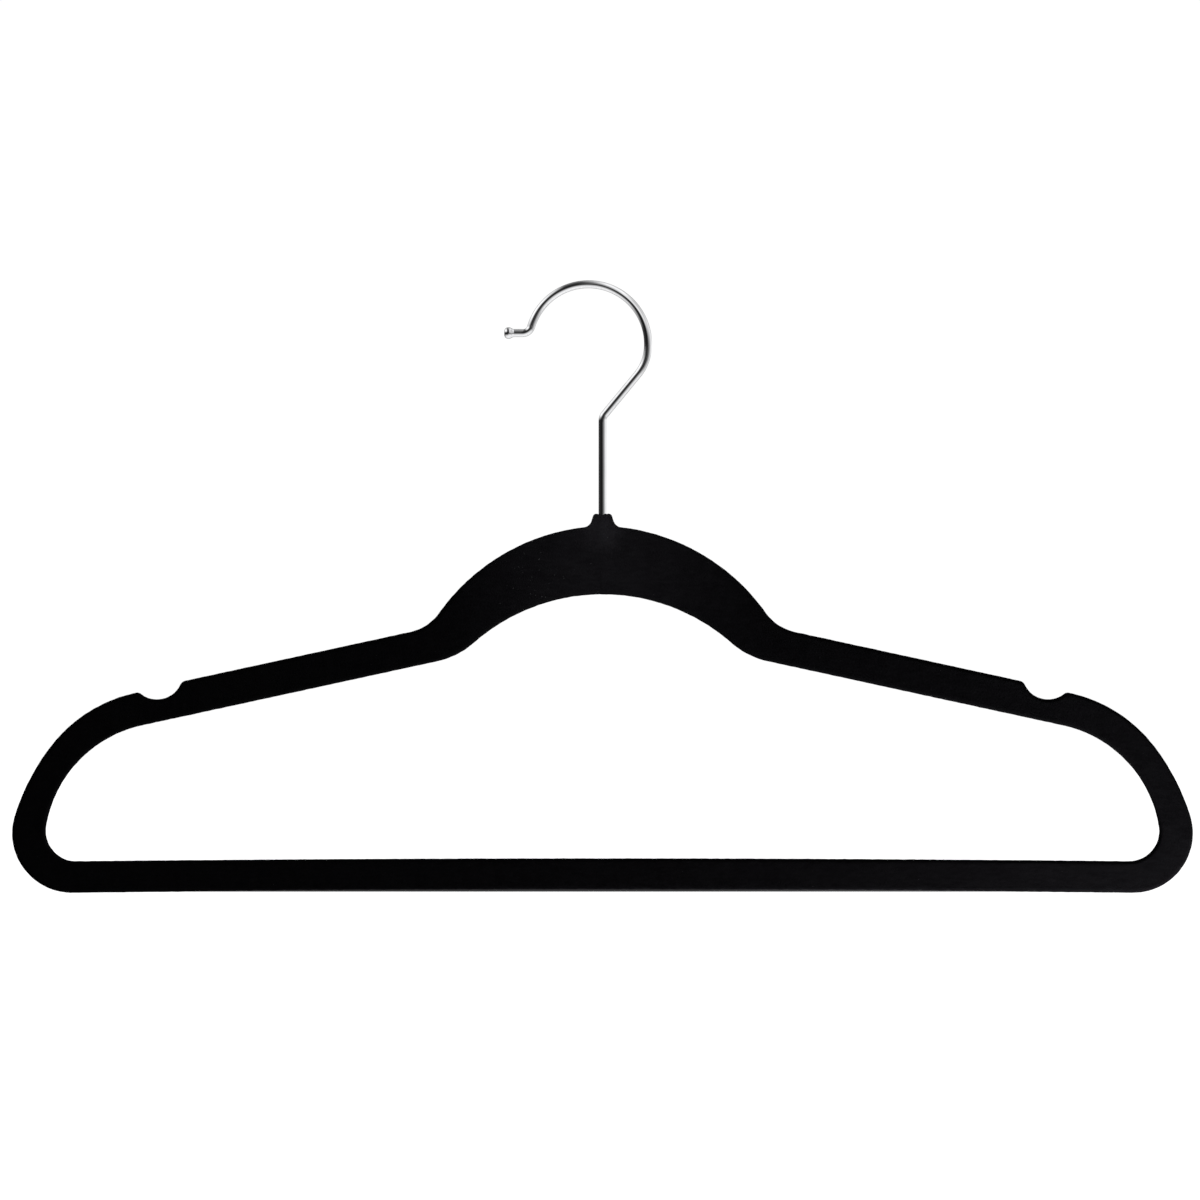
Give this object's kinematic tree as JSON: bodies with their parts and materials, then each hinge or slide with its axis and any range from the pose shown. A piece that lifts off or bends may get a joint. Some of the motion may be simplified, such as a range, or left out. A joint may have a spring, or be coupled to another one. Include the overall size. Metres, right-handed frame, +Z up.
{
  "type": "clothes hanger",
  "caption": "Slim flocked suit hanger with an integral trouser bar, strap notches in the shoulders and a chromed wire hook that swivels in the neck.",
  "frame": {"origin": "rail seat: the highest point of the inner side of the hook's loop, in the middle of the wire's width, where the hanger rests on a rail", "axes": "+Z up, +X along the hanger's width to the right as seen from the front, -Y towards the front, with the hook open to -X"},
  "size_m": [0.4449, 0.0074, 0.2309],
  "materials": {
    "shell_plastic": "matte",
    "flock": "matte",
    "hook_chrome": "polished"
  },
  "bodies": {
    "hook": {"swivel_hook": "hook_chrome"},
    "hanger": {"front_shell": "shell_plastic", "rear_shell": "shell_plastic", "flock_coat": "flock"}
  },
  "joints": [
    {"name": "swivel", "type": "hinge", "parent": "hook", "child": "hanger", "pos_m": [0.00535, 0, -0.0879], "axis": [0, 0, 1], "continuous": true}
  ]
}
